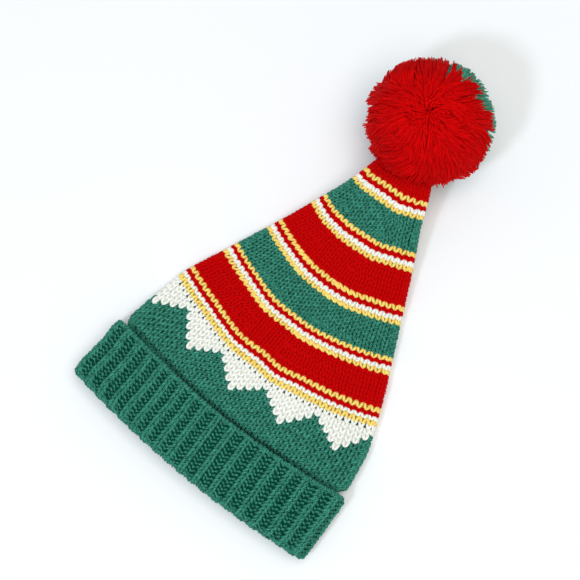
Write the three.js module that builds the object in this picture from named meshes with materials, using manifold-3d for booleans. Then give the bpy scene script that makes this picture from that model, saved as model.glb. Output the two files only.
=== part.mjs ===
// A knitted elf beanie lying flat on a table: a tapering hollow crown, a ribbed cuff turned up
// on itself at the mouth, and a yarn pompom of a red half and a green half on the tip.
// Millimetres, +Z up, the table at z = 0. +Y runs from the mouth to the pompom, +X across the hat.
// "along" is the distance from the mouth on the hat's middle line.
import * as THREE from "three";
import { mergeVertices } from "three/addons/utils/BufferGeometryUtils.js";
import Module from "manifold-3d";

const wasm = await Module();
wasm.setup();

// Driving dimensions
const FLAT_WIDTH = 230; // the cuff, lying flat, over its ribs
const CUFF_HEIGHT = 57; // the turned-up part, from the fold to its free edge
const CUFF_BOW = 8; // how far the cuff's middle lies ahead of its ends
const CUFF_FLARE = 0.4; // the free edge stands off the crown by this much more
const SLANT = 0.063; // at the mouth the hat's right side lies lower than its left, by this much a millimetre
const SLANT_END = 140; // where along the hat that has died out
const RIBS = 36; // one knit and one purl column each
const RIB_RELIEF = 0.9; // height of a rib over the mean face
const RIB_WALL = 3.6; // one layer of ribbing
const LAYER_SLIT = 0.5; // air between the cuff's two layers
const HEAD_GAP = 10; // air between the cuff's upper and lower side
const CUFF_SIDE_FOLD = 4; // radius inside the cuff's two side folds
const RIB_SETTLE = 0.4; // the mean lower face over the table, so that only rib crests are pressed flat
const JOIN = 50; // where the ribbing goes over into the crown, hidden behind the turned-up part
const JOIN_HALF_WIDTH = 109; // half the crown's width there
const CROWN_WALL = 3; // plain knitting
const SEAT_GAP = 0.3; // clearance between pieces that touch
const POMPOM_RADIUS = 53;
const POMPOM_CENTRE = new THREE.Vector3(0, 338, 48);
const GREEN_SIDE = new THREE.Vector3(0.04, 0.62, -0.78).normalize(); // the green half faces this way

// The crown's outside, a row for each ring: its middle point along the hat, half its width, how far
// its sides lie ahead of its middle, its sideways lean, the radius of its side folds, its thickness
// in the middle, and how high its underside lies over the table.
const joinBow = CUFF_BOW * ((2 * JOIN_HALF_WIDTH) / FLAT_WIDTH) ** 2;
const joinAlong = JOIN + SEAT_GAP;
const CROWN_RINGS = [
  { along: joinAlong, halfWidth: JOIN_HALF_WIDTH, bow: joinBow, lean: 0, fold: 7.2, bulk: 16.4, lift: 5.2 },
  { along: 60, halfWidth: 108.3, bow: 13, lean: 1.4, fold: 7, bulk: 17, lift: 4.6 },
  { along: 76, halfWidth: 105.7, bow: 20, lean: 2.1, fold: 6.4, bulk: 18.4, lift: 2.2 },
  { along: 96, halfWidth: 100.4, bow: 22, lean: 2.2, fold: 5.8, bulk: 19.5, lift: 0 },
  { along: 115, halfWidth: 94.6, bow: 20.5, lean: 2.1, fold: 5.6, bulk: 19.5, lift: 0 },
  { along: 154, halfWidth: 79.2, bow: 16.5, lean: 2.9, fold: 5.5, bulk: 19, lift: 0 },
  { along: 195, halfWidth: 62.3, bow: 13, lean: 4.2, fold: 5.5, bulk: 18.5, lift: 1.5 },
  { along: 237, halfWidth: 44.5, bow: 9.5, lean: 5.5, fold: 5.6, bulk: 18.5, lift: 10 },
  { along: 260, halfWidth: 34.4, bow: 7.3, lean: 5.9, fold: 6, bulk: 19, lift: 18 },
  { along: 286, halfWidth: 25.3, bow: 5, lean: 6.2, fold: 6.6, bulk: 19.5, lift: 29 },
  { along: 306, halfWidth: 16.6, bow: 3, lean: 4.2, fold: 7, bulk: 18, lift: 36 },
  { along: 322, halfWidth: 9, bow: 1.5, lean: 2, fold: 6.5, bulk: 14, lift: 41 },
];
const TIP_ALONG = CROWN_RINGS.at(-1).along;

// A column of a table at a place along it, smooth through the rows (a Hermite curve whose slope at
// a row is that of the chord between its neighbours).
function smooth(table, column, along) {
  const next = table.findIndex((row) => row.along > along);
  const i = next < 0 ? table.length - 2 : Math.max(0, next - 1);
  const slope = (k) => {
    const before = table[Math.max(0, k - 1)];
    const after = table[Math.min(table.length - 1, k + 1)];
    return (after[column] - before[column]) / (after.along - before.along);
  };
  const [a, b] = [table[i], table[i + 1]];
  const step = b.along - a.along;
  const t = THREE.MathUtils.clamp((along - a.along) / step, 0, 1);
  const near = a[column] * (1 + 2 * t) * (1 - t) ** 2 + b[column] * t * t * (3 - 2 * t);
  return near + step * t * (1 - t) * (slope(i) * (1 - t) - slope(i + 1) * t);
}

// How far a point across the hat lies ahead, for the slant that the hat lies with.
const slantAhead = (along, x) => -SLANT * Math.max(0, 1 - along / SLANT_END) * x;

// A point of a flattened loop, with the direction out of it. turn runs once round the loop in equal
// lengths from 0 to 1: flat underside from left to right, right fold, domed top, left fold.
// z is counted from the underside.
function flatLoop({ halfWidth, fold, bulk }, turn) {
  const flat = halfWidth - fold;
  const dome = bulk - 2 * fold;
  const side = Math.PI * fold;
  const length = turn * (4 * flat + 2 * side);
  if (length < 2 * flat) return { x: length - flat, z: 0, nx: 0, nz: -1 };
  if (length < 2 * flat + side) {
    const angle = (length - 2 * flat) / fold - Math.PI / 2;
    const [nx, nz] = [Math.cos(angle), Math.sin(angle)];
    return { x: flat + fold * nx, z: fold + fold * nz, nx, nz };
  }
  if (length < 4 * flat + side) {
    const x = 3 * flat + side - length;
    const rise = 1 - (x / flat) ** 4;
    const slope = (-8 * dome * rise * x ** 3) / flat ** 4;
    const scale = 1 / Math.hypot(slope, 1);
    return { x, z: 2 * fold + dome * rise ** 2, nx: -slope * scale, nz: scale };
  }
  const angle = (length - 4 * flat - side) / fold + Math.PI / 2;
  const [nx, nz] = [Math.cos(angle), Math.sin(angle)];
  return { x: -flat + fold * nx, z: fold + fold * nz, nx, nz };
}

// A closed surface over rows of columns: the columns close on themselves, and the rows either close
// on themselves too or end in one pole at each end.
function closedSurface(rows, poles = []) {
  const columns = rows[0].length;
  const points = [...rows.flat(), ...poles];
  const index = [];
  const bands = poles.length ? rows.length - 1 : rows.length;
  for (let i = 0; i < bands; i++) {
    const [a, b] = [i * columns, ((i + 1) % rows.length) * columns];
    for (let j = 0; j < columns; j++) {
      const k = (j + 1) % columns;
      index.push(a + j, a + k, b + k, a + j, b + k, b + j);
    }
  }
  if (poles.length) {
    const first = rows.length * columns;
    const last = (rows.length - 1) * columns;
    for (let j = 0; j < columns; j++) {
      const k = (j + 1) % columns;
      index.push(first, k, j, first + 1, last + j, last + k);
    }
  }
  return new THREE.BufferGeometry().setFromPoints(points).setIndex(index);
}

function namedMesh(name, geometry, color, roughness) {
  const mesh = new THREE.Mesh(geometry, new THREE.MeshStandardMaterial({ color, roughness, metalness: 0 }));
  mesh.name = name;
  return mesh;
}

const steps = (count, from, to) =>
  Array.from({ length: count }, (_, i) => from + ((to - from) * i) / (count - 1));
const shares = (count) => Array.from({ length: count }, (_, i) => i / count);

// Crown: one knitted wall. The surface runs from the tip down its outside to the join, and back up
// its inside.
const FLAT_COLUMNS = 18; // on the underside, and on the top
const FOLD_COLUMNS = 6; // on each side fold
const CROWN_ROWS = 17;
const TIP_DOME = 1.5; // the drawn-in tip stands this far past its last ring

function crownRing(along) {
  const ring = {};
  for (const column of ["halfWidth", "bow", "lean", "fold", "bulk", "lift"]) {
    ring[column] = smooth(CROWN_RINGS, column, along);
  }
  return { ...ring, along, lift: Math.max(0, ring.lift) };
}

// The turns at which a ring's columns lie, close together in its side folds.
function columnTurns({ halfWidth, fold }) {
  const flat = 2 * (halfWidth - fold);
  const side = Math.PI * fold;
  const half = flat + side;
  const stretch = (from, length, count) => shares(count).map((share) => (from + length * share) / (2 * half));
  return [0, half].flatMap((from) => [
    ...stretch(from, flat, FLAT_COLUMNS),
    ...stretch(from + flat, side, FOLD_COLUMNS),
  ]);
}

function crownRow(along, out) {
  const ring = crownRing(along);
  return columnTurns(ring).map((turn) => {
    const p = flatLoop(ring, turn);
    const x = p.x + out * p.nx;
    const y = along + ring.bow * (x / ring.halfWidth) ** 2 + slantAhead(along, x);
    return new THREE.Vector3(ring.lean + x, y, ring.lift + p.z + out * p.nz);
  });
}

function crownPole(along, ahead) {
  const ring = crownRing(along);
  return new THREE.Vector3(ring.lean, along + ahead, ring.lift + ring.bulk / 2);
}

function crownGeometry() {
  const inside = TIP_ALONG - CROWN_WALL;
  const outer = steps(CROWN_ROWS, TIP_ALONG, joinAlong).map((along) => crownRow(along, 0));
  const inner = steps(CROWN_ROWS, joinAlong, inside).map((along) => crownRow(along, -CROWN_WALL));
  const poles = [crownPole(TIP_ALONG, TIP_DOME), crownPole(inside, 0)];
  return closedSurface([...outer, ...inner], poles);
}

// Cuff: two layers of ribbing that go over into each other in the fold at the mouth. "out" counts
// from the inside of the inner layer, and "ribs" is the share of the rib relief that a line takes.
const RIB_STEPS = 4; // columns for each rib
const cuffThickness = 2 * RIB_WALL + LAYER_SLIT;
const foldRadius = cuffThickness / 2;
const outerFace = cuffThickness + CUFF_FLARE;
const INSIDE_RIBS = -0.4; // the inside shows the ribs' backs, less deep
const FOLD_ANGLES = [45, 0, -45];
const CUFF_PROFILE = [
  { out: RIB_WALL, along: JOIN, ribs: 0 },
  { out: RIB_WALL, along: foldRadius, ribs: 0 },
  { out: RIB_WALL + LAYER_SLIT, along: foldRadius, ribs: 0 },
  { out: outerFace - RIB_WALL, along: CUFF_HEIGHT - RIB_WALL / 2, ribs: 0 },
  { out: outerFace - RIB_WALL / 2, along: CUFF_HEIGHT, ribs: 0.5 },
  { out: outerFace, along: CUFF_HEIGHT - RIB_WALL / 2, ribs: 1 },
  { out: cuffThickness, along: CUFF_HEIGHT / 2, ribs: 1 },
  { out: cuffThickness, along: foldRadius, ribs: 1 },
  ...FOLD_ANGLES.map((degrees) => ({
    out: foldRadius * (1 + Math.sin(THREE.MathUtils.degToRad(degrees))),
    along: foldRadius * (1 - Math.cos(THREE.MathUtils.degToRad(degrees))),
    ribs: 0.5 + degrees / 90,
  })),
  { out: 0, along: foldRadius, ribs: INSIDE_RIBS },
  { out: 0, along: JOIN / 2, ribs: INSIDE_RIBS },
  { out: 0, along: JOIN, ribs: INSIDE_RIBS },
];

function cuffGeometry() {
  const insideHalfWidth = FLAT_WIDTH / 2 - cuffThickness - RIB_RELIEF;
  const rows = CUFF_PROFILE.map(({ out, along, ribs }) => {
    const layer = {
      halfWidth: insideHalfWidth + out,
      fold: CUFF_SIDE_FOLD + out,
      bulk: HEAD_GAP + 2 * out,
    };
    const underside = RIB_SETTLE + cuffThickness - out;
    return shares(RIBS * RIB_STEPS).map((turn) => {
      const p = flatLoop(layer, turn);
      const rib = ribs * RIB_RELIEF * Math.cos(2 * Math.PI * RIBS * turn);
      const x = p.x + rib * p.nx;
      const y = along + CUFF_BOW * ((2 * x) / FLAT_WIDTH) ** 2 + slantAhead(along, x);
      return new THREE.Vector3(x, y, Math.max(0, underside + p.z + rib * p.nz));
    });
  });
  return closedSurface(rows);
}

// Pompom: locks of cut yarn on a round head, pressed flat where they lie on the table, cut into its
// two colours, and hollowed for the crown's tip.
const LOCKS = 64;
const LOCK_SIDES = 5;
const LOCK_WIDTH = 10.5; // a lock's radius where it is widest
const LOCK_SPREAD = 0.06; // the longest and shortest locks differ from the mean by this share
const LENGTH_WAVE = 5; // spreads long and short locks over the ball
const HEAD_SHARE = 0.7; // the head's radius over the pompom's
const CROWN_WAY = new THREE.Vector3(0, -1, -0.15).normalize(); // from the pompom to the crown
const TIP_CLEARANCE = 34; // degrees round that way that hold no lock
const CUTTER_FROM = 262; // the recess for the crown's tip is cut from here on
const CUTTER_ROWS = 9;
const GOLDEN_TURN = Math.PI * (3 - Math.sqrt(5));
const FAR = 4 * POMPOM_RADIUS; // past every lock

function solidFrom(geometry) {
  const bare = geometry.clone();
  bare.deleteAttribute("normal");
  bare.deleteAttribute("uv");
  const merged = mergeVertices(bare, 1e-4);
  const triVerts = new Uint32Array(merged.index.array);
  const vertProperties = merged.attributes.position.array;
  return new wasm.Manifold(new wasm.Mesh({ numProp: 3, vertProperties, triVerts }));
}

function geometryFrom(solid) {
  const { vertProperties, triVerts } = solid.getMesh();
  const position = new THREE.BufferAttribute(vertProperties, 3);
  return new THREE.BufferGeometry()
    .setAttribute("position", position)
    .setIndex(new THREE.BufferAttribute(triVerts, 1));
}

// One lock along +Y: it widens from its root towards a blunt, rounded end. A row is a share of its
// width at a share of its length.
const LOCK_PROFILE = [
  { width: 0, reach: 0.1 },
  { width: 1, reach: 0.86 },
  { width: 0.62, reach: 0.97 },
  { width: 0, reach: 1 },
];

function lockGeometry(length) {
  const profile = LOCK_PROFILE.map(
    ({ width, reach }) => new THREE.Vector2(width * LOCK_WIDTH, reach * length),
  );
  return new THREE.LatheGeometry(profile, LOCK_SIDES);
}

function pompomSolid() {
  const head = new THREE.IcosahedronGeometry(HEAD_SHARE * POMPOM_RADIUS, 2);
  const up = new THREE.Vector3(0, 1, 0);
  let solid = solidFrom(head);
  for (let i = 0; i < LOCKS; i++) {
    const height = 1 - (2 * i + 1) / LOCKS;
    const ring = Math.sqrt(1 - height * height);
    const angle = i * GOLDEN_TURN;
    const way = new THREE.Vector3(ring * Math.cos(angle), ring * Math.sin(angle), height);
    if (THREE.MathUtils.radToDeg(way.angleTo(CROWN_WAY)) < TIP_CLEARANCE) continue;
    const length = POMPOM_RADIUS * (1 - LOCK_SPREAD * (0.5 + 0.5 * Math.sin(LENGTH_WAVE * i)));
    const turned = new THREE.Quaternion().setFromUnitVectors(up, way);
    solid = solid.add(solidFrom(lockGeometry(length).applyQuaternion(turned)));
  }
  return solid;
}

// Everything on one side of a plane through the pompom's centre, as a large block.
function sideOf(way, gap) {
  const block = new THREE.BoxGeometry(FAR, FAR, FAR).translate(0, 0, FAR / 2 + gap);
  const turned = new THREE.Quaternion().setFromUnitVectors(new THREE.Vector3(0, 0, 1), way);
  return solidFrom(block.applyQuaternion(turned));
}

// The crown's tip, larger by the clearance all round.
function tipCutter() {
  const rows = steps(CUTTER_ROWS, TIP_ALONG, CUTTER_FROM).map((along) => crownRow(along, SEAT_GAP));
  const poles = [crownPole(TIP_ALONG, TIP_DOME + SEAT_GAP), crownPole(CUTTER_FROM, 0)];
  const { x, y, z } = POMPOM_CENTRE;
  return solidFrom(closedSurface(rows, poles).translate(-x, -y, -z));
}

function pompomHalves() {
  const table = sideOf(new THREE.Vector3(0, 0, 1), -POMPOM_CENTRE.z);
  const whole = pompomSolid().intersect(table).subtract(tipCutter());
  const half = (way) => {
    const { x, y, z } = POMPOM_CENTRE;
    return geometryFrom(whole.intersect(sideOf(way, SEAT_GAP / 2))).translate(x, y, z);
  };
  return { green: half(GREEN_SIDE), red: half(GREEN_SIDE.clone().negate()) };
}

// The hat, with its origin under the middle of its box
const GREEN_YARN = "#1f7a5c";
const RED_YARN = "#c4060c";
const YARN_ROUGHNESS = 0.9;
const pompom = pompomHalves();
const hat = new THREE.Group();
hat.add(
  namedMesh("crown", crownGeometry(), GREEN_YARN, YARN_ROUGHNESS),
  namedMesh("cuff", cuffGeometry(), GREEN_YARN, YARN_ROUGHNESS),
  namedMesh("pompom_red", pompom.red, RED_YARN, YARN_ROUGHNESS),
  namedMesh("pompom_green", pompom.green, GREEN_YARN, YARN_ROUGHNESS),
);
const box = new THREE.Box3().setFromObject(hat);
const middle = box.getCenter(new THREE.Vector3());
hat.position.set(-middle.x, -middle.y, -box.min.z);

export default hat;
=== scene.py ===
import math

import bpy
import numpy as np
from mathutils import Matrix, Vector


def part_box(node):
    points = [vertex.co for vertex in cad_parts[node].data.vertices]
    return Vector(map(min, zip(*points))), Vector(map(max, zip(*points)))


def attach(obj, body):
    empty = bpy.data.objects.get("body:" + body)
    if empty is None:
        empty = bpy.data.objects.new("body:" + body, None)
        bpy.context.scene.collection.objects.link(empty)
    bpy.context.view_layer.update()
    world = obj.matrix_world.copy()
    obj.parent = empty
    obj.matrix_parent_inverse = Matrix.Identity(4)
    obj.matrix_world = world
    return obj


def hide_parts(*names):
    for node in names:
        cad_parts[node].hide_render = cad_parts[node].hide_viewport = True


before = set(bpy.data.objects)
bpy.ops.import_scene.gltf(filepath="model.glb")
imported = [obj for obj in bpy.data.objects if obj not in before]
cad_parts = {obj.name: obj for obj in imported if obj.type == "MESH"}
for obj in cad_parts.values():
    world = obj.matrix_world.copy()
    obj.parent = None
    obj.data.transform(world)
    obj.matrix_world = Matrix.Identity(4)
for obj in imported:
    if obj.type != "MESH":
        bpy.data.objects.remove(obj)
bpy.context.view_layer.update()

# Crown: the tapering body of the hat, knitted in the round from soft acrylic yarn and drawn shut at
# its tip. It lies pressed flat on the table, its two layers joined by a soft fold at each side. The
# first piece is the body of that fabric, the backs of the loops, coloured as the rows in front of it
# with the shade in the gaps between the loops painted in.
MM = 0.001
FAR_END = 323.5  # mm from the mouth to the far end of the crown
MOUTH_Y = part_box("crown")[1].y - FAR_END * MM  # the mouth's edge on the hat's middle line, in metres
CROWN_RINGS = np.array(
    (  # along, half width, bow, lean, fold, bulk, lift: the outside of the crown, in mm
        (50.3, 109.0, 7.2, 0.0, 7.2, 16.4, 5.2),
        (60.0, 108.3, 13.0, 1.4, 7.0, 17.0, 4.6),
        (76.0, 105.7, 20.0, 2.1, 6.4, 18.4, 2.2),
        (96.0, 100.4, 22.0, 2.2, 5.8, 19.5, 0.0),
        (115.0, 94.6, 20.5, 2.1, 5.6, 19.5, 0.0),
        (154.0, 79.2, 16.5, 2.9, 5.5, 19.0, 0.0),
        (195.0, 62.3, 13.0, 4.2, 5.5, 18.5, 1.5),
        (237.0, 44.5, 9.5, 5.5, 5.6, 18.5, 10.0),
        (260.0, 34.4, 7.3, 5.9, 6.0, 19.0, 18.0),
        (286.0, 25.3, 5.0, 6.2, 6.6, 19.5, 29.0),
        (306.0, 16.6, 3.0, 4.2, 7.0, 18.0, 36.0),
        (322.0, 9.0, 1.5, 2.0, 6.5, 14.0, 41.0),
    )
)
HALF_WIDTH, LEAN, BULK, LIFT = 1, 3, 5, 6  # columns of that table
CROWN_FOOT, CROWN_TIP = CROWN_RINGS[0, 0], CROWN_RINGS[-1, 0]
SLANT = 0.063  # the hat's right side lies further back, at the mouth by this much a millimetre
SLANT_END = 140.0  # mm along the hat, where that has died out
FREE_EDGE, EDGE_LAG = 57.0, 3.7  # mm along the crown to the cuff's edge, and how much less at the sides
GROOVE_DEPTH, GROOVE_PLACE, GROOVE_REACH = 8.0, 1.4, 2.2  # mm, the last two along from the free edge
SWELL_HEIGHT, SWELL_PLACE, SWELL_REACH = 1.0, 9.0, 4.5  # mm, likewise
LEFT_FOLD, LEFT_REACH = -0.25, 0.04  # in turns: the left fold, and how far round it both are eased
LEFT_EASE = 0.6  # the share of both that is missing at that fold
FOLD_SHIFT = 1.5  # mm by which both side folds lie to the right beside the cuff
SHIFT_FROM, SHIFT_OVER = 80.0, 110.0  # mm along the hat, where that begins to die out and has died out
EDGE_LAY = np.array(
    (  # turn round the hat, and how many mm the cuff's free edge lies ahead of an even line there
        (-0.50, 0.0),
        (-0.22, 1.5),
        (-0.15, 0.1),
        (-0.05, -1.9),
        (0.00, -2.8),
        (0.20, -2.8),
        (0.30, 0.0),
        (0.50, 0.0),
    )
)


def crown_size(along, column):
    """A column of CROWN_RINGS at each distance along the hat: cubic pieces through the table's rows,
    where each row's slope is the chord between its neighbours."""
    stops, sizes = CROWN_RINGS[:, 0], CROWN_RINGS[:, column]
    last = len(stops) - 1
    after = np.minimum(np.arange(last + 1) + 1, last)
    before = np.maximum(np.arange(last + 1) - 1, 0)
    slopes = (sizes[after] - sizes[before]) / (stops[after] - stops[before])
    i = np.clip(np.searchsorted(stops, along, side="right") - 1, 0, last - 1)
    step = stops[i + 1] - stops[i]
    t = np.clip((along - stops[i]) / step, 0, 1)
    near = sizes[i] * (1 + 2 * t) * (1 - t) ** 2 + sizes[i + 1] * t * t * (3 - 2 * t)
    return near + step * t * (1 - t) * (slopes[i] * (1 - t) - slopes[i + 1] * t)


def lying_tube(half_width, fold, bulk, turn):
    """Section of a tube that lies flat, at each turn from the middle of its upper layer (0) over the
    right fold (0.25) to the middle of its lower layer (0.5), in equal lengths of fabric. Gives x and
    z, then the outward direction's x and z. The lower layer is flat, each fold is a half circle, and
    the upper layer's dome rises as (1 - (x / flat)^4)^2."""
    flat = half_width - fold
    turn = (turn + 0.5) % 1.0 - 0.5
    side = np.where(turn < 0, -1.0, 1.0)
    run = np.abs(turn) * (4 * flat + 2 * np.pi * fold)
    top = run < flat
    across = np.minimum(run, flat) / flat
    rise = 1 - across**4
    dome = bulk - 2 * fold
    slope = -8 * dome * rise * across**3 / flat
    bend = np.clip((run - flat) / fold, 0, np.pi)
    below = np.maximum(run - flat - np.pi * fold, 0)
    x = np.where(top, run, flat + fold * np.sin(bend) - below)
    z = np.where(top, 2 * fold + dome * rise**2, fold + fold * np.cos(bend))
    out_x = np.where(top, -slope / np.hypot(slope, 1), np.sin(bend))
    out_z = np.where(top, 1 / np.hypot(slope, 1), np.cos(bend))
    return side * x, z, side * out_x, out_z


def slant_ahead(along, x):
    """How far ahead a point across the hat lies in mm: minus the slant times x, the slant dying out
    evenly along the hat."""
    return -SLANT * np.maximum(0, 1 - along / SLANT_END) * x


def edge_ahead(turn):
    """How far ahead the cuff's free edge lies in mm: straight pieces through EDGE_LAY."""
    return np.interp((turn + 0.5) % 1.0 - 0.5, EDGE_LAY[:, 0], EDGE_LAY[:, 1])


def crown_point(along, turn, out):
    """Places on the crown in metres: the lying tube's section at that distance along the hat, moved
    out of the fabric by out. A ring bows towards the tip at its sides by the square of x, and slants,
    and near the cuff its sides shift to the right by the same square. The cuff's free edge presses a
    groove into the fabric, which swells beside it, both as bell curves, and less so at the left fold.
    The table holds everything up."""
    half_width, bow, lean, fold, bulk, lift = (crown_size(along, c) for c in range(1, 7))
    x, z, out_x, out_z = lying_tube(half_width, fold, bulk, turn)
    from_edge = along - FREE_EDGE + EDGE_LAG * (x / half_width) ** 2 - edge_ahead(turn)
    from_left = (turn - LEFT_FOLD + 0.5) % 1.0 - 0.5
    press = 1 - LEFT_EASE * np.exp(-((from_left / LEFT_REACH) ** 2))
    out = out - press * GROOVE_DEPTH * np.exp(-(((from_edge - GROOVE_PLACE) / GROOVE_REACH) ** 2))
    out = out + press * SWELL_HEIGHT * np.exp(-(((from_edge - SWELL_PLACE) / SWELL_REACH) ** 2))
    shift = FOLD_SHIFT * np.clip((SHIFT_OVER - along) / (SHIFT_OVER - SHIFT_FROM), 0, 1)
    x = x + out * out_x + shift * (x / half_width) ** 2
    y = along + bow * (x / half_width) ** 2 + slant_ahead(along, x)
    z = np.maximum(np.maximum(lift, 0) + z + out * out_z, 0)
    return np.stack([(lean + x) * MM, MOUTH_Y + y * MM, z * MM], axis=-1)


# The knitting chart, from the join with the cuff to the tip: yarn and row height in mm. The pattern is
# a ring of white triangles, 1, 3, 5 and 7 stitches wide in every 8, and then one stripe of four rows
# before each band of plain ground.
chart = [("green", 3.3)] * 4 + [("green", 4.0)] + [("green", 4.6)] * 2
chart += [(f"triangle {width}", 4.73) for width in (1, 3, 5, 7)]
chart += [("white", 3.9)] * 2
row_height = 3.9
for ground, rows, height, first in (
    ("red", 7, 3.54, 4.8),
    ("green", 7, 3.8, 3.54),
    ("red", 7, 3.86, 3.8),
    ("green", 7, 3.78, 3.86),
    ("red", 12, 3.8, 3.78),
):
    chart += [("yellow", first), ("white", 2 * row_height - first)]
    chart += [("red", row_height), ("yellow", row_height)]
    chart += [(ground, height)] * rows
    row_height = height
row_yarns = [yarn for yarn, _ in chart]

# Each row's foot is measured along the slope of the upper layer, which climbs to the pompom. No row
# starts in the last bit before the tip.
LAST_BIT = 1.5  # mm
slope_stops = np.linspace(CROWN_FOOT, CROWN_TIP, 600)
slope_tops = np.maximum(crown_size(slope_stops, LIFT), 0) + crown_size(slope_stops, BULK)
slope_lengths = np.hypot(np.gradient(slope_stops), np.gradient(slope_tops))
slope_lengths = np.cumsum(slope_lengths) - slope_lengths[0]
row_feet = np.concatenate([[0.0], np.cumsum([height for _, height in chart])])
row_feet = np.interp(row_feet, slope_lengths, slope_stops)
row_count = int(np.sum(row_feet[:-1] < CROWN_TIP - LAST_BIT))
row_feet = row_feet[: row_count + 1]
row_yarns = row_yarns[:row_count]

# The hat has 76 stitches at its foot, and loses four in each round of decreases: one on either side
# of a strip of six stitches that runs up the middle of each layer. The rounds begin and end in the
# lower strip, where the triangles, which repeat in every 8 stitches, do not meet.
STRIP_STITCHES = 6
STRIP_TURN = -0.028  # the upper strip lies a little left of the middle
TRIANGLE_PERIOD = 8
FLOAT_ROW = 12  # the last white row: green yarn is carried along behind it, and shows as dark dots
STITCH_ROUNDS = np.array(
    (  # along in mm, stitches in the round
        (50.0, 76),
        (110.0, 76),
        (147.0, 61),
        (186.0, 54),
        (228.0, 41),
        (268.0, 27),
        (300.0, 17),
        (322.0, 8),
    )
)
row_stitches = np.interp(row_feet, STITCH_ROUNDS[:, 0], STITCH_ROUNDS[:, 1])
row_stitches = 4 * np.round(row_stitches / 4).astype(int)

# How the rows lie: the fabric is not quite even, so a row lies ahead of its foot or behind it, with a
# bend at each line of decreases.
LAY_TURNS = np.array((-0.23, -0.15, -0.07, -0.01, 0.03, 0.08, 0.15, 0.23))
ROW_LAY = np.array(
    (  # along, then mm ahead at each of those turns
        (50.3, 0.0, 0.0, 0.0, 0.0, 0.0, 0.0, 0.0, 0.0),
        (77.0, -0.5, -0.8, -1.6, -1.9, -2.0, -2.0, -1.8, -1.4),
        (112.0, 0.6, -0.4, -4.2, -2.7, -5.5, -3.3, -4.1, -5.0),
        (150.0, 3.2, 0.6, -3.5, -3.4, -4.3, -4.0, -3.4, -2.3),
        (190.0, 0.7, -2.0, -4.8, -5.4, -6.0, -5.9, -4.0, -2.3),
        (232.0, -1.2, -4.0, -4.5, -3.8, -3.8, -4.1, -1.9, -0.7),
        (271.0, -4.7, -4.9, -3.5, -2.9, -3.3, -3.9, -1.8, -0.2),
        (322.0, 0.0, 0.0, 0.0, 0.0, 0.0, 0.0, 0.0, 0.0),
    )
)


def row_place(foot, turn):
    """Where a row of knitting lies along the hat at each turn: its foot and what ROW_LAY adds, blended
    evenly between the table's rows and turns. The lower layer lies as the upper one does."""
    turn = (turn + 0.5) % 1.0 - 0.5
    turn = np.where(np.abs(turn) > 0.25, np.sign(turn) * 0.5 - turn, turn)
    i = np.clip(np.searchsorted(ROW_LAY[:, 0], foot, side="right") - 1, 0, len(ROW_LAY) - 2)
    j = np.clip(np.searchsorted(LAY_TURNS, turn, side="right") - 1, 0, len(LAY_TURNS) - 2)
    s = np.clip((foot - ROW_LAY[i, 0]) / (ROW_LAY[i + 1, 0] - ROW_LAY[i, 0]), 0, 1)
    t = np.clip((turn - LAY_TURNS[j]) / (LAY_TURNS[j + 1] - LAY_TURNS[j]), 0, 1)
    near = ROW_LAY[i, j + 1] * (1 - t) + ROW_LAY[i, j + 2] * t
    far = ROW_LAY[i + 1, j + 1] * (1 - t) + ROW_LAY[i + 1, j + 2] * t
    return foot + near * (1 - s) + far * s


def chart_yarn(row, turn):
    """The yarn's name at a row and turns: in the triangle rows a stitch is white if it is at most half
    the triangle's width from the nearest triangle's middle stitch, and green if not. Any other row has
    its own yarn."""
    yarn = row_yarns[row]
    if not yarn.startswith("triangle"):
        return np.full(np.shape(turn), yarn, dtype="<U8")
    half = (int(yarn.split()[1]) - 1) / 2
    stitch = np.floor(((turn - STRIP_TURN + 0.5) % 1.0 - 0.5) * row_stitches[row])
    away = np.abs((stitch + TRIANGLE_PERIOD / 2) % TRIANGLE_PERIOD - TRIANGLE_PERIOD / 2)
    return np.where(away <= half + 0.1, "white", "green").astype("<U8")


def closed_mesh(name, rings, uv=None):
    """A mesh of closed tubes from rings[tube, ring, point, xyz]: quads between each ring and the next,
    and a flat face on the first and last ring of each tube. uv gives u and v of the same grid, with
    one more point round, where the seam closes."""
    tubes, stops, sides = rings.shape[:3]
    mesh = bpy.data.meshes.new(name)
    first = np.arange(tubes)[:, None, None] * stops * sides
    ring = np.arange(stops - 1)[None, :, None] * sides
    low = first + ring
    high = low + sides
    here = np.arange(sides)[None, None, :]
    there = (here + 1) % sides
    quads = np.stack([low + here, high + here, high + there, low + there], axis=-1)
    foot = first[:, 0] + np.arange(sides)[None, :]
    head = first[:, 0] + (stops - 1) * sides + np.arange(sides)[::-1][None, :]
    corners = np.concatenate([quads.ravel(), foot.ravel(), head.ravel()])
    quad_count = tubes * (stops - 1) * sides
    starts = np.concatenate([np.arange(quad_count) * 4, quad_count * 4 + np.arange(2 * tubes) * sides])
    mesh.vertices.add(tubes * stops * sides)
    mesh.vertices.foreach_set("co", rings.astype(np.float32).ravel())
    mesh.loops.add(len(corners))
    mesh.loops.foreach_set("vertex_index", corners.astype(np.int32))
    mesh.polygons.add(len(starts))
    mesh.polygons.foreach_set("loop_start", starts.astype(np.int32))
    mesh.polygons.foreach_set("use_smooth", np.ones(len(starts), dtype=bool))
    if uv is not None:
        flat_uv = np.stack(
            [uv[:, :-1, :-1], uv[:, 1:, :-1], uv[:, 1:, 1:], uv[:, :-1, 1:]], axis=3
        ).reshape(-1, 2)
        ends = np.concatenate([uv[:, 0, :-1].reshape(-1, 2), uv[:, -1, :-1].reshape(-1, 2)])
        layer = mesh.uv_layers.new(name="yarn")
        layer.data.foreach_set("uv", np.concatenate([flat_uv, ends]).astype(np.float32).ravel())
    mesh.update(calc_edges=True)
    made = bpy.data.objects.new(name, mesh)
    bpy.context.collection.objects.link(made)
    return made


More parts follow.
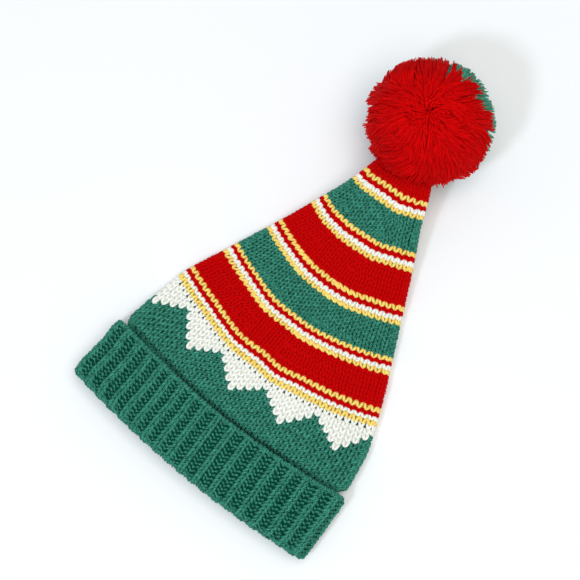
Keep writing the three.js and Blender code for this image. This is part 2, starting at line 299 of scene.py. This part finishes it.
def linear(colour):
    """An sRGB hex colour as linear red, green, blue and alpha."""
    parts = [int(colour[i : i + 2], 16) / 255 for i in (1, 3, 5)]
    parts = [p / 12.92 if p <= 0.04045 else ((p + 0.055) / 1.055) ** 2.4 for p in parts]
    return (*parts, 1.0)


def node(tree, kind, inputs, **settings):
    """Adds one shader node with its settings. An input that is a socket is linked, and any other is
    set as the input's own value."""
    made = tree.nodes.new(kind)
    for key, value in settings.items():
        setattr(made, key, value)
    for key, value in inputs.items():
        if isinstance(value, bpy.types.NodeSocket):
            tree.links.new(value, made.inputs[key])
        else:
            made.inputs[key].default_value = value
    return made


def spun_yarn(name, light, deep, glow, plies=True):
    """Soft spun acrylic yarn. The eye gets a matt, slightly fuzzy strand: the shade drifts between
    light and deep every few millimetres, the plies wind round it with the shade of the grooves
    between them painted darker, fine fibres roughen it, and a sheen lifts its rim as the loose hairs do."""
    made = bpy.data.materials.new(name)
    made.use_nodes = True
    tree = made.node_tree
    shader = tree.nodes["Principled BSDF"]
    place = node(tree, "ShaderNodeTexCoord", {}).outputs["Object"]
    drift = node(tree, "ShaderNodeTexNoise", {"Vector": place, "Scale": 1 / (3 * MM), "Detail": 2.0})
    fibre = node(tree, "ShaderNodeTexNoise", {"Vector": place, "Scale": 1 / (0.5 * MM), "Detail": 3.0})
    blend = node(
        tree, "ShaderNodeMath", {0: drift.outputs["Fac"], 1: fibre.outputs["Fac"]}, operation="ADD"
    ).outputs[0]
    height = fibre.outputs["Fac"]
    if plies:
        one_wave = math.pi / 10  # the scale at which the wave texture has one wave for each ply
        ply_height, painted_groove_shade = 1.6, 0.45  # against the fibres' height, and against the drift of shade
        lay = node(tree, "ShaderNodeUVMap", {}, uv_map="yarn").outputs["UV"]
        wave = node(
            tree, "ShaderNodeTexWave", {"Vector": lay, "Scale": one_wave}, bands_direction="X"
        ).outputs["Fac"]
        height = node(
            tree, "ShaderNodeMath", {0: wave, 1: ply_height, 2: height}, operation="MULTIPLY_ADD"
        ).outputs[0]
        # The wave also paints the shade of the grooves between the plies into the colour, towards deep.
        blend = node(
            tree, "ShaderNodeMath", {0: wave, 1: painted_groove_shade, 2: blend}, operation="MULTIPLY_ADD"
        ).outputs[0]
    low, high = (0.8, 1.65) if plies else (0.7, 1.3)  # the range that the sum in blend takes
    shade = node(tree, "ShaderNodeMapRange", {"Value": blend, "From Min": low, "From Max": high})
    ramp = node(tree, "ShaderNodeValToRGB", {"Fac": shade.outputs["Result"]})
    ramp.color_ramp.elements[0].color = linear(deep)
    ramp.color_ramp.elements[1].color = linear(light)
    bump = node(tree, "ShaderNodeBump", {"Height": height, "Strength": 0.5, "Distance": 0.25 * MM})
    tree.links.new(ramp.outputs["Color"], shader.inputs["Base Color"])
    tree.links.new(bump.outputs["Normal"], shader.inputs["Normal"])
    shader.inputs["Roughness"].default_value = 0.88
    shader.inputs["Specular IOR Level"].default_value = 0.2
    shader.inputs["Specular Tint"].default_value = linear(glow)
    shader.inputs["Sheen Weight"].default_value = 0.2
    shader.inputs["Sheen Roughness"].default_value = 0.5
    shader.inputs["Sheen Tint"].default_value = linear(glow)
    return made


# Each yarn's second material is painted shade: the yarn's colour darkened by the shade that falls in the
# gaps between the loops, where it shows behind them, and for the red a little lightened to soften that
# shade.
YARNS = {  # each yarn's front material, and its shade on the backs of the loops
    "green": (
        spun_yarn("spun_acrylic_green", "#4AA28B", "#004030", "#84C8B2"),
        spun_yarn("loop_backs_painted_shade_green", "#0A4535", "#003022", "#277E67", plies=False),
    ),
    "red": (
        spun_yarn("spun_acrylic_red", "#CA0809", "#BA0507", "#E0100A"),
        spun_yarn("loop_backs_painted_shade_red", "#D60608", "#C60507", "#B80406", plies=False),
    ),
    "white": (
        spun_yarn("spun_acrylic_white", "#F7F8F1", "#ECEDE3", "#FFFFFF"),
        spun_yarn("loop_backs_painted_shade_white", "#E2E3D9", "#CECFC6", "#E8E6DC", plies=False),
    ),
    "yellow": (
        spun_yarn("spun_acrylic_yellow", "#FBF68E", "#F0B64C", "#FFF4B4"),
        spun_yarn("loop_backs_painted_shade_yellow", "#B48E2A", "#84641A", "#DDA21C", plies=False),
    ),
}
YARN_ORDER = list(YARNS)

FABRIC_BACK = -3.0  # the inside face, out from the crown's surface
FABRIC_FRONT = -1.6
FABRIC_COLUMNS = 144
fabric_turns = np.linspace(0.5, -0.5, FABRIC_COLUMNS, endpoint=False)
fabric_rows = row_place(row_feet[:, None], fabric_turns[None, :])
outer_rings = crown_point(fabric_rows, fabric_turns[None, :], FABRIC_FRONT)
inner_rings = crown_point(fabric_rows[::-1], fabric_turns[None, :], FABRIC_BACK)
crown_fabric = closed_mesh("crown_fabric", np.concatenate([inner_rings, outer_rings])[None])
# Each row's fabric takes its yarn's copy with painted shade: darker, and for the red a little lighter.
for yarn in YARN_ORDER:
    crown_fabric.data.materials.append(YARNS[yarn][1])
fabric_middles = fabric_turns - 0.5 / FABRIC_COLUMNS
row_colours = np.stack(
    [
        np.array([YARN_ORDER.index(y) for y in chart_yarn(row, fabric_middles)])
        for row in range(row_count)
    ]
)
# Under FLOAT_ROW the fabric shows the carried green yarn, in its copy with painted shade.
row_colours[FLOAT_ROW] = YARN_ORDER.index("green")
join_colours = np.full((1, FABRIC_COLUMNS), YARN_ORDER.index("green"))
end_colours = [YARN_ORDER.index("red")] * 2  # both ends of the mesh are at the tip
fabric_colours = np.concatenate([row_colours[::-1], join_colours, row_colours]).ravel()
fabric_colours = np.concatenate([fabric_colours, end_colours])
crown_fabric.data.polygons.foreach_set("material_index", fabric_colours.astype(np.int32))
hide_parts("crown")
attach(crown_fabric, "root")

# Crown stitches: plain knitting, each stitch one loop of yarn drawn through the loop below it, so that
# its two legs show as a V with the point towards the mouth. All loops of one yarn are one piece. The
# rows change colour on the chart, which makes the triangles, the stripes and the zigzag lines.
LOOP = np.array(
    (  # across in stitch widths, up in rows, out in mm, radius in mm: from the point up the right leg
        (0.00, -0.12, -0.55, 0.95),
        (0.13, -0.04, 0.45, 1.15),
        (0.24, 0.28, 1.00, 1.28),
        (0.32, 0.68, 0.95, 1.25),
        (0.40, 1.08, -0.40, 0.85),
    )
)
LOOP_SEAT = -1.95  # the loops' middle plane, out from the crown's surface
PLY_TURN = 7.0  # mm of yarn in one turn of its plies
PLIES = 3
STRIPE_THIN, FLOAT_THIN = 0.93, 0.90  # share of the yarn's radius above FLOAT_ROW, and in that row
FLOAT_DRAW = ((0.3, 0.9), (0.62, 1.0))  # up in rows, and the share of its spread that a leg has there


def yarn_tubes(name, paths, guides, radii, sides):
    """Yarn along each of paths[tube, stop, xyz]: a ring of points at each stop, at radius times
    (cosine of the across direction + sine of the upper one), where across is square to the path and
    to the guide. u counts the plies met along and round the yarn, and v goes once round it."""
    steps = np.gradient(paths, axis=1)
    ahead = steps / np.linalg.norm(steps, axis=2, keepdims=True)
    across = np.cross(ahead, guides)
    across /= np.linalg.norm(across, axis=2, keepdims=True)
    upper = np.cross(across, ahead)
    angle = 2 * np.pi * np.arange(sides) / sides
    spokes = np.cos(angle)[:, None] * across[:, :, None] + np.sin(angle)[:, None] * upper[:, :, None]
    rings = paths[:, :, None] + radii[:, :, None, None] * MM * spokes
    rings[..., 2] = np.maximum(rings[..., 2], 0)
    lengths = np.linalg.norm(np.diff(paths, axis=1), axis=2)
    lengths = np.concatenate([np.zeros((len(paths), 1)), np.cumsum(lengths, axis=1)], axis=1)
    v = np.broadcast_to(np.arange(sides + 1) / sides, (*lengths.shape, sides + 1))
    u = PLIES * (lengths[:, :, None] / (PLY_TURN * MM) + v)
    return closed_mesh(name, rings, np.stack([u, v], axis=-1))


def outward(points, lifted):
    """The way out of the fabric at each point: from it to the same point lifted off the fabric, or
    straight down where the table holds both at one place."""
    guides = lifted - points
    held = np.linalg.norm(guides, axis=2, keepdims=True) < 0.1 * MM
    return np.where(held, np.array([0.0, 0.0, -MM]), guides)


stitch_rows, stitch_turns, stitch_leans, stitch_yarns = [], [], [], []
for row in range(row_count):
    stitches, above = row_stitches[row], row_stitches[row + 1]
    strip = min(STRIP_STITCHES, stitches // 2)
    panel = (stitches - 2 * strip) // 2
    for anchor, columns in ((0.0, strip), (0.5, strip), (0.25, panel), (-0.25, panel)):
        place = np.arange(columns) - (columns - 1) / 2
        turns = STRIP_TURN + anchor + place / stitches
        stitch_rows.append(np.full(columns, row))
        stitch_turns.append(turns)
        stitch_leans.append(place / above - place / stitches)
        stitch_yarns.append(chart_yarn(row, turns))
stitch_rows, stitch_turns = np.concatenate(stitch_rows), np.concatenate(stitch_turns)
stitch_leans, stitch_yarns = np.concatenate(stitch_leans), np.concatenate(stitch_yarns)

hand = np.random.default_rng(18)  # no two hand-made loops are quite alike
loop_path = np.concatenate([LOOP[:0:-1] * (-1, 1, 1, 1), LOOP])
stitch_count = len(stitch_rows)
loop_across = loop_path[:, 0] * hand.normal(1.0, 0.04, (stitch_count, 1))
loop_across = loop_across + hand.normal(0, 0.02, (stitch_count, 1))
loop_up = loop_path[:, 1] + hand.normal(0, 0.03, (stitch_count, 1))
loop_out = loop_path[:, 2] + hand.normal(0, 0.10, (stitch_count, 1))
loop_radii = loop_path[:, 3] * hand.normal(1.0, 0.04, (stitch_count, 1))
loop_thin = np.where(stitch_rows > FLOAT_ROW, STRIPE_THIN, 1.0)
loop_thin[stitch_rows == FLOAT_ROW] = FLOAT_THIN
loop_radii = loop_radii * loop_thin[:, None]
# The carried yarn draws its row's legs together at their feet, so a gap opens between two stitches.
loop_across[stitch_rows == FLOAT_ROW] *= np.interp(loop_path[:, 1], *FLOAT_DRAW)
feet = row_feet[stitch_rows][:, None]
heights = np.diff(row_feet)[stitch_rows][:, None]
loop_turn = stitch_turns[:, None] + stitch_leans[:, None] * loop_up
loop_turn = loop_turn + loop_across / row_stitches[stitch_rows][:, None]
loop_along = row_place(feet + heights * loop_up, loop_turn)
loop_points = crown_point(loop_along, loop_turn, LOOP_SEAT + loop_out)
loop_guides = outward(loop_points, crown_point(loop_along, loop_turn, LOOP_SEAT + loop_out + 1.0))
for yarn in YARN_ORDER:
    chosen = stitch_yarns == yarn
    piece = yarn_tubes(
        f"crown_stitches_{yarn}", loop_points[chosen], loop_guides[chosen], loop_radii[chosen], sides=6
    )
    piece.data.materials.append(YARNS[yarn][0])
    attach(piece, "root")

# Cuff: a band of ribbing, one knit stitch and one purl stitch in turn, knitted on below the crown and
# turned up once on itself, so that it is double. The first piece is the fabric behind the stitches:
# the inner layer, the fold at the mouth and the outer layer with its free edge.
CUFF_SIZES = {  # in mm
    "inside_half_width": 107.6,
    "side_fold": 4.0,
    "head_gap": 10.0,
    "bow": 8.0,
    "flat_width": 230.0,
}
CUFF_SETTLE = 0.4 + 7.7  # mm of air under the cuff, and the double band's thickness
CUFF_DRAWN = np.array(
    (  # along the hat, and how far the left and the right end are drawn in there, all in mm
        (14.0, 0.0, 0.0),
        (36.0, 3.2, 0.0),
        (51.0, 3.4, 0.3),
        (58.0, 5.0, 3.0),
    )
)
EDGE_MIDDLE, EDGE_RADIUS = (6.3, 55.2), 1.8  # the free edge: out from the inside face, along the hat
FOLD_MIDDLE, FOLD_RADIUS = (3.85, 5.05), 3.85  # the fold at the mouth


def cuff_point(along, turn, out):
    """Places on the cuff in metres, at a distance out from its inside face: a lying tube that grows by
    out on all sides. The band bows towards the tip at its sides by the square of x, and slants. Its
    ends are drawn in by what CUFF_DRAWN gives, evenly from the middle outwards."""
    half_width = CUFF_SIZES["inside_half_width"] + out
    fold = CUFF_SIZES["side_fold"] + out
    x, z, _, _ = lying_tube(half_width, fold, CUFF_SIZES["head_gap"] + 2 * out, turn)
    left, right = (np.interp(along, CUFF_DRAWN[:, 0], CUFF_DRAWN[:, i]) for i in (1, 2))
    x = x * (1 - np.where(x < 0, left, right) / half_width)
    y = along + CUFF_SIZES["bow"] * (2 * x / CUFF_SIZES["flat_width"]) ** 2 + slant_ahead(along, x)
    z = np.maximum(CUFF_SETTLE - out + z, 0)
    return np.stack([x * MM, MOUTH_Y + y * MM, z * MM], axis=-1)


def arc(middle, radius, first, last, stops):
    """Points (out, along) of a circle's arc between two angles in degrees."""
    angle = np.radians(np.linspace(first, last, stops))
    return np.stack([middle[0] + radius * np.cos(angle), middle[1] + radius * np.sin(angle)], axis=1)


# The face of the ribbing that shows, as one line (out, along): over the free edge, down the outer
# layer, round the fold and up inside to the crown.
rib_face = np.concatenate(
    [
        arc(EDGE_MIDDLE, EDGE_RADIUS, 180, 0, 13),
        [(7.7, 28.5)],
        arc(FOLD_MIDDLE, FOLD_RADIUS, 0, -180, 17),
        [(0.0, 50.0)],
    ]
)
face_run = np.concatenate([[0.0], np.cumsum(np.linalg.norm(np.diff(rib_face, axis=0), axis=1))])
face_stops = np.linspace(0, face_run[-1], 400)
face_line = np.stack([np.interp(face_stops, face_run, rib_face[:, i]) for i in (0, 1)], axis=1)
face_ahead = np.gradient(face_line, face_stops, axis=0)
face_ahead /= np.linalg.norm(face_ahead, axis=1, keepdims=True)
fold_run = face_run[np.argmin(rib_face[:, 1])]


def rib_point(run, turn, out):
    """Places at a distance run along the face of the ribbing from its free edge, moved off that face by
    out, square to it. The outer layer is stretched evenly to the lay of its free edge."""
    line = [np.interp(run, face_stops, face_line[:, i]) for i in (0, 1)]
    ahead = [np.interp(run, face_stops, face_ahead[:, i]) for i in (0, 1)]
    lay = edge_ahead(turn) * np.clip(1 - run / fold_run, 0, 1)
    return cuff_point(line[1] + out * ahead[0] + lay, turn, line[0] - out * ahead[1])


RIBS = 38
RIB_ROUND = 483.0  # mm round the outer layer
RIB_PHASE = 0.224  # where a rib's middle lies from the middle of the upper layer, in ribs
RIB_LAY = np.array(
    (  # turn, and mm by which the ribs there are shifted to the right: they are not stretched evenly
        (-0.50, 0.0),
        (-0.22, 0.0),
        (-0.14, 0.9),
        (-0.06, -2.5),
        (-0.01, -3.9),
        (0.045, -0.8),
        (0.10, 2.1),
        (0.20, 3.8),
        (0.50, 0.0),
    )
)


def rib_turn(place):
    """The turn round the hat of a place counted in ribs: equal steps, and what RIB_LAY adds to them."""
    turn = (place / RIBS + 0.5) % 1.0 - 0.5
    return turn + np.interp(turn, RIB_LAY[:, 0], RIB_LAY[:, 1]) / RIB_ROUND


RIB_BACK, RIB_RIDGE = -1.55, 1.0  # the fabric's face behind the stitches, and its rise under each rib
rib_steps = np.arange(6 * RIBS) / 6
cuff_turns = rib_turn(RIB_PHASE - rib_steps)
cuff_backs = RIB_BACK + RIB_RIDGE * np.maximum(np.cos(2 * np.pi * rib_steps), 0)
FABRIC_END = 4.0  # mm from the start of the face, where the fabric behind it ends
front_runs = np.linspace(face_run[-1], FABRIC_END, 60)
front_rings = rib_point(front_runs[:, None], cuff_turns[None, :], cuff_backs[None, :])
SLIT_LINE = np.array(
    (  # out, along, share of the free edge's lay: the faces between the two layers
        (4.5, 53.0, 1.0),
        (4.3, 28.5, 0.5),
        (4.2, 7.0, 0.0),
        (3.5, 7.0, 0.0),
        (3.4, 28.5, 0.0),
        (3.4, 49.4, 0.0),
    )
)
slit_along = SLIT_LINE[:, 1:2] + SLIT_LINE[:, 2:3] * edge_ahead(cuff_turns)
slit_rings = cuff_point(slit_along, cuff_turns[None, :], SLIT_LINE[:, :1])
cuff_rings = np.concatenate([front_rings, slit_rings, front_rings[:1]])
cuff_fabric = closed_mesh("cuff_fabric", cuff_rings[None])
# The fabric behind the ribs takes the green yarn's copy with the shade between the stitches painted in,
# darker than the yarn.
cuff_fabric.data.materials.append(YARNS["green"][1])
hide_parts("cuff")
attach(cuff_fabric, "root")

# Cuff stitches: a knit column stands up as a rib of Vs, and the purl column between two ribs lies deep
# and shows each of its loops as three small bumps. On the turned-up layer the Vs point up, because that
# layer is upside down. The cast-on loops wrap over the free edge, where the ribs run out flat.
RIB_ROW = 3.55  # row height in mm
FOLD_FADE, EDGE_FADE = 6.0, 7.0  # mm from the fold and from the free edge in which the ribs run out flat
KNIT_LEG = np.array(
    (  # across in mm, up in rows, out in mm, radius in mm: from behind the row before, along one leg
        (0.0, -0.30, -2.20, 0.80),
        (0.8, -0.10, -0.45, 1.08),
        (1.35, 0.32, 0.15, 1.25),
        (1.8, 0.72, -0.20, 1.17),
        (2.3, 1.10, -1.60, 0.85),
    )
)
KNIT_LOOP = np.concatenate([KNIT_LEG[:0:-1] * (-1, 1, 1, 1), KNIT_LEG])
PURL_BAR = np.array(
    (  # the same for a purl loop, which shows as three bumps
        (-3.9, -0.42, -2.30, 0.75),
        (-2.6, -0.26, -1.05, 1.12),
        (-1.3, 0.00, -2.30, 0.66),
        (0.0, 0.24, -1.05, 1.16),
        (1.3, 0.00, -2.30, 0.66),
        (2.6, -0.26, -1.05, 1.12),
        (3.9, -0.42, -2.30, 0.75),
    )
)
EDGE_LOOP = np.array(
    (  # the same for a cast-on loop, which lies over the edge
        (-0.5, -0.90, -1.90, 0.80),
        (-0.2, -0.45, -0.55, 1.25),
        (0.0, 0.00, -0.25, 1.40),
        (0.2, 0.45, -0.55, 1.25),
        (0.5, 0.90, -1.90, 0.80),
    )
)
rib_rows = np.arange(0.9, face_run[-1] / RIB_ROW - 0.8)
for name, profile, phase, rows, crowd, rise, sides in (
    ("cuff_knit_columns", KNIT_LOOP, RIB_PHASE, rib_rows, 1, -0.4, 6),
    ("cuff_purl_columns", PURL_BAR, RIB_PHASE + 0.5, rib_rows, 1, 0.6, 5),
    ("cuff_edge_loops", EDGE_LOOP, 0.0, np.array([0.9]), 4, 0.0, 6),
):
    row, column = np.meshgrid(rows, np.arange(crowd * RIBS), indexing="ij")
    row, column = row.reshape(-1, 1), column.reshape(-1, 1)
    count = len(row)
    across = profile[:, 0] * hand.normal(1.0, 0.05, (count, 1)) + hand.normal(0, 0.12, (count, 1))
    lift = hand.normal(0, 0.05, (count, 1))
    lean = hand.normal(0, 0.03, (count, 1))
    run = RIB_ROW * (row + profile[:, 1] + lift + lean * across)
    turn = rib_turn(column / crowd + phase) + across / RIB_ROUND
    out = profile[:, 2] + hand.normal(0, 0.12, (count, 1))
    flat = np.exp(-(((run - fold_run) / FOLD_FADE) ** 2)) + np.exp(-((run / EDGE_FADE) ** 2))
    out = out + rise * flat
    points = rib_point(run, turn, out)
    guides = outward(points, rib_point(run, turn, out + 1.0))
    radii = profile[:, 3] * hand.normal(1.0, 0.04, (count, 1))
    piece = yarn_tubes(name, points, guides, radii, sides)
    piece.data.materials.append(YARNS["green"][0])
    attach(piece, "root")

# Pompom: lengths of the same acrylic yarn, half red and half green, tied hard round their middle and
# sewn to the tip. The strands spring from the tie and fall outwards from a parting on top, combed into
# soft tufts, and the trimmed ends make the ball's shaggy outline.
POMPOM_MIDDLE = np.array([-0.8 * MM, MOUTH_Y + 334.2 * MM, 48 * MM])
POMPOM_RADIUS, TIE_RADIUS = 49.5, 8  # mm
GREEN_SIDE = np.array([0.04, 0.62, -0.78]) / np.linalg.norm([0.04, 0.62, -0.78])
GREEN_TUFT = np.array([0.303, 0.928, -0.218]) / np.linalg.norm([0.303, 0.928, -0.218])
GREEN_FROM, TUFT_FROM = 0.22, 0.66  # cosine of the angle from each of these in which the yarn is green
PARTING = np.array([-0.032, -0.167, 0.986]) / np.linalg.norm([-0.032, -0.167, 0.986])
CREASES = ((58.0, 2.5, 12.0), (199.0, 2.5, 12.0))  # bearing, push and reach in degrees
DENTS = (  # a direction, the share of the length missing there (or added), and its reach in degrees
    ((-0.228, -0.500, 0.836), 0.22, 7.0),
    ((-0.221, -0.963, -0.150), 0.10, 14.0),
    ((-0.808, -0.589, 0.0), -0.06, 15.0),
)
LOCKS, TUFTS = 14, 90
TUFT_PULL = 0.12  # share of the way that each strand's end is drawn to the middle of its tuft


def combed_yarn(name, light, deep, glow):
    """Cut yarn lying side by side in a ball. The eye gets a soft even mass with fine strands in it: the
    light scatters from strand to strand, so the shading follows the whole ball more than each strand.
    The shading direction is the strand's own one plus the way out from the ball's middle, by weight."""
    made = spun_yarn(name, light, deep, glow, plies=False)
    tree = made.node_tree
    place = node(tree, "ShaderNodeTexCoord", {}).outputs["Object"]
    ball_way = node(
        tree, "ShaderNodeVectorMath", {0: place, 1: POMPOM_MIDDLE}, operation="SUBTRACT"
    ).outputs[0]
    ball_way = node(
        tree, "ShaderNodeVectorTransform", {0: ball_way}, vector_type="NORMAL", convert_from="OBJECT"
    ).outputs[0]
    strand_way = node(tree, "ShaderNodeNewGeometry", {}).outputs["Normal"]
    weight = (3.5, 3.5, 3.5)  # how much more the ball's direction counts than the strand's
    both = node(
        tree, "ShaderNodeVectorMath", {0: ball_way, 1: weight, 2: strand_way}, operation="MULTIPLY_ADD"
    ).outputs[0]
    both = node(tree, "ShaderNodeVectorMath", {0: both}, operation="NORMALIZE").outputs[0]
    shader = tree.nodes["Principled BSDF"]
    tree.links.new(both, shader.inputs["Normal"])
    shader.inputs["Subsurface Weight"].default_value = 0.6
    shader.inputs["Subsurface Radius"].default_value = (1.0, 0.5, 0.5)
    shader.inputs["Subsurface Scale"].default_value = 2 * MM
    return made


POMPOM_YARNS = {
    "red": combed_yarn("combed_acrylic_red", "#E80A0B", "#D80608", "#E40A08"),
    "green": combed_yarn("combed_acrylic_green", "#4BA88A", "#2C866E", "#6BBAA0"),
}
east = np.cross([0.0, 1.0, 0.0], PARTING)
east /= np.linalg.norm(east)
north = np.cross(PARTING, east)
comb = np.random.default_rng(4)
locks, tufts = comb.normal(0, 1, (LOCKS, 3)), comb.normal(0, 1, (TUFTS, 3))
tufts /= np.linalg.norm(tufts, axis=1, keepdims=True)
tuft_lock = np.argmax(tufts @ (locks / np.linalg.norm(locks, axis=1, keepdims=True)).T, axis=1)
tuft_swing = comb.normal(0, 0.20, LOCKS)[tuft_lock] + comb.normal(0, 0.20, TUFTS)
tuft_length = comb.normal(1.0, 0.02, LOCKS)[tuft_lock] + comb.normal(0, 0.03, TUFTS)
tuft_bow = comb.normal(1.0, 0.10, LOCKS)[tuft_lock] + comb.normal(0, 0.08, TUFTS)


def pompom_strands(count, stops, reach, thickness):
    """Strands whose ends lie evenly over the ball, on a golden spiral. From the tie each rises near the
    parting and bends away from it towards its end: its angle from the parting falls short of the end's
    by a power of the way left, and its distance from the middle reaches the ball's radius as another
    power. A tuft's strands swing to one side together. Gives points, radii, and whether each is green
    and is free: it crosses no knitting and does not end on the parting itself."""
    number = np.arange(count)
    height = 1 - 2 * (number + 0.5) / count
    spiral = number * np.pi * (3 - math.sqrt(5))
    ring = np.sqrt(1 - height**2)
    ends = np.stack([ring * np.cos(spiral), ring * np.sin(spiral), height], axis=1)
    ends += comb.normal(0, 0.035, ends.shape)
    ends /= np.linalg.norm(ends, axis=1, keepdims=True)
    tuft = np.argmax(ends @ tufts.T, axis=1)
    ends += TUFT_PULL * (tufts[tuft] - ends)
    ends /= np.linalg.norm(ends, axis=1, keepdims=True)
    fall = np.arccos(np.clip(ends @ PARTING, -1, 1))
    bearing = np.arctan2(ends @ north, ends @ east)
    # A crease pushes the strands apart on top, and dies out down the ball's side.
    for middle, push, width in CREASES:
        away = (np.degrees(bearing) - middle + 180) % 360 - 180
        shove = push * np.sign(away) * np.exp(-np.abs(away) / width) * np.clip(1.5 - fall, 0, 1)
        bearing = bearing + np.radians(shove)
    # The bow grows with the fall, holds at the ball's side and dies out underneath.
    bow = np.minimum(0.9 * fall, tuft_bow[tuft] * np.clip(2.1 - 0.8 * fall, 0, 0.84))[:, None]
    angle = fall[:, None] - bow * (1 - stops) ** 1.2
    length = tuft_length[tuft][:, None] * comb.normal(1.0, 0.025, (count, 1))
    length = reach * POMPOM_RADIUS * np.clip(length, 0.90, 1.06)
    for way, loss, width in DENTS:
        off = np.degrees(np.arccos(np.clip(ends @ np.array(way), -1, 1)))[:, None]
        length = length * (1 - loss * np.exp(-((off / width) ** 2)))
    climb = 0.90 * (1 - (1 - stops) ** 5) + 0.10 * stops**5  # most of it at first, the rest at the end
    radius = TIE_RADIUS + (length - TIE_RADIUS) * climb
    swing = tuft_swing[tuft][:, None] + comb.normal(0, 0.03, (count, 1))
    side = bearing[:, None] + swing * (stops - 0.7)
    sideways = np.cos(side)[:, :, None] * east + np.sin(side)[:, :, None] * north
    heading = np.cos(angle)[:, :, None] * PARTING + np.sin(angle)[:, :, None] * sideways
    points = POMPOM_MIDDLE + MM * radius[:, :, None] * heading
    points[..., 2] = np.maximum(points[..., 2], 0.6 * MM)  # the lowest strands lie on the table
    radii = thickness * comb.normal(1.0, 0.08, (count, 1))
    # The crown's tip takes up its own room in the ball, so no strand crosses it.
    tip_along = np.clip((points[..., 1] - MOUTH_Y) / MM, CROWN_FOOT, CROWN_TIP)
    tip_half = crown_size(tip_along, BULK) / 2
    tip_middle = np.maximum(crown_size(tip_along, LIFT), 0) + tip_half
    tip_x = (points[..., 0] / MM - crown_size(tip_along, LEAN)) / crown_size(tip_along, HALF_WIDTH)
    tip_z = (points[..., 2] / MM - tip_middle) / (tip_half + 0.5)
    in_tip = (tip_x**2 + tip_z**2 < 1) & (points[..., 1] < MOUTH_Y + CROWN_TIP * MM)
    is_green = (ends @ GREEN_SIDE > GREEN_FROM) | (ends @ GREEN_TUFT > TUFT_FROM)
    return points, radii, is_green, ~in_tip.any(axis=1) & (fall > math.radians(1.5))


# The strands that show, and a shorter and thicker filling under them: how many there are, their share
# of the ball's radius, the stops along each as shares of its way, and its radius at each stop in mm.
OUTER_COUNT, OUTER_REACH = 10900, 1.0
OUTER_STOPS = np.array((0.25, 0.48, 0.69, 0.86, 1.0))
OUTER_RADII = np.array((0.75, 0.82, 0.82, 0.76, 0.46))
FILLING_COUNT, FILLING_REACH = 4400, 0.90
FILLING_STOPS = np.array((0.2, 0.55, 1.0))
FILLING_RADII = np.array((1.3, 1.6, 1.3))
for part, strands in (
    ("strands", pompom_strands(OUTER_COUNT, OUTER_STOPS, OUTER_REACH, OUTER_RADII)),
    ("filling", pompom_strands(FILLING_COUNT, FILLING_STOPS, FILLING_REACH, FILLING_RADII)),
):
    points, radii, is_green, free = strands
    guides = np.broadcast_to(PARTING + 0.3 * east, points.shape)  # how each strand's sides are turned
    for yarn, chosen in (("red", free & ~is_green), ("green", free & is_green)):
        piece = yarn_tubes(
            f"pompom_{yarn}_{part}", points[chosen], guides[chosen], radii[chosen], sides=3
        )
        piece.data.materials.append(POMPOM_YARNS[yarn])
        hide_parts(f"pompom_{yarn}")
        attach(piece, "root")

# Table: the plain white board with a matt coat that the hat lies on. It is not attached to the part,
# and reaches past the picture on all sides.
TABLE_HALF, TABLE_TOP = 2.5, -0.0004  # metres: the top is a hair below the hat
table_corners = [(-TABLE_HALF, -TABLE_HALF), (TABLE_HALF, -TABLE_HALF)]
table_corners += [(TABLE_HALF, TABLE_HALF), (-TABLE_HALF, TABLE_HALF)]
table_mesh = bpy.data.meshes.new("table")
table_mesh.from_pydata([(x, y, TABLE_TOP) for x, y in table_corners], [], [(0, 1, 2, 3)])
table = bpy.data.objects.new("table", table_mesh)
bpy.context.collection.objects.link(table)
table_paint = bpy.data.materials.new("matt_white_laminate")
table_paint.use_nodes = True
paint_tree = table_paint.node_tree
paint_place = node(paint_tree, "ShaderNodeTexCoord", {}).outputs["Object"]
paint_cloud = node(
    paint_tree, "ShaderNodeTexNoise", {"Vector": paint_place, "Scale": 3.0, "Detail": 1.0}
)
paint_ramp = node(paint_tree, "ShaderNodeValToRGB", {"Fac": paint_cloud.outputs["Fac"]})
paint_ramp.color_ramp.elements[0].color = linear("#F0F2F4")
paint_ramp.color_ramp.elements[1].color = linear("#F2F3F3")
paint = paint_tree.nodes["Principled BSDF"]
paint_tree.links.new(paint_ramp.outputs["Color"], paint.inputs["Base Color"])
paint.inputs["Roughness"].default_value = 0.6
paint.inputs["Specular IOR Level"].default_value = 0.2
table_mesh.materials.append(table_paint)

# Light: a small softbox high over the mouth's side, whose shadow falls past the pompom, a large panel
# overhead and a bright even room.
for lamp_name, place, size, watts, tint in (
    ("key_softbox", (-0.32, -2.20, 2.63), 0.45, 35.0, "#E6EFFF"),
    ("overhead_panel", (0.60, -0.10, 3.0), 2.3, 57.0, "#FFFFFB"),
):
    lamp_data = bpy.data.lights.new(lamp_name, "AREA")
    lamp_data.size = size
    lamp_data.energy = watts
    lamp_data.color = linear(tint)[:3]
    lamp = bpy.data.objects.new(lamp_name, lamp_data)
    lamp.location = place
    lamp.rotation_mode = "QUATERNION"
    lamp.rotation_quaternion = Vector(place).to_track_quat("Z", "Y")
    bpy.context.collection.objects.link(lamp)
room = bpy.data.worlds.new("bright_room")
room.use_nodes = True
room.node_tree.nodes["Background"].inputs["Color"].default_value = linear("#FCFDFF")
room.node_tree.nodes["Background"].inputs["Strength"].default_value = 0.45
bpy.context.scene.world = room
bpy.context.scene.view_settings.view_transform = "Standard"

# Camera: almost straight above, turned so that the hat points to the picture's upper right.
AZIMUTH, ELEVATION, DISTANCE, FIELD = 35.8, 77.0, 1.3, 19.95
AIM = Vector((-0.0155, -0.0260, 0.015))
turn_round, tilt = math.radians(AZIMUTH), math.radians(ELEVATION)
back = Vector(
    (math.sin(turn_round) * math.cos(tilt), -math.cos(turn_round) * math.cos(tilt), math.sin(tilt))
)
camera_data = bpy.data.cameras.new("camera")
camera_data.angle = math.radians(FIELD)
camera = bpy.data.objects.new("camera", camera_data)
camera.location = AIM + back * DISTANCE
camera.rotation_mode = "QUATERNION"
camera.rotation_quaternion = back.to_track_quat("Z", "Y")
bpy.context.collection.objects.link(camera)
bpy.context.scene.camera = camera
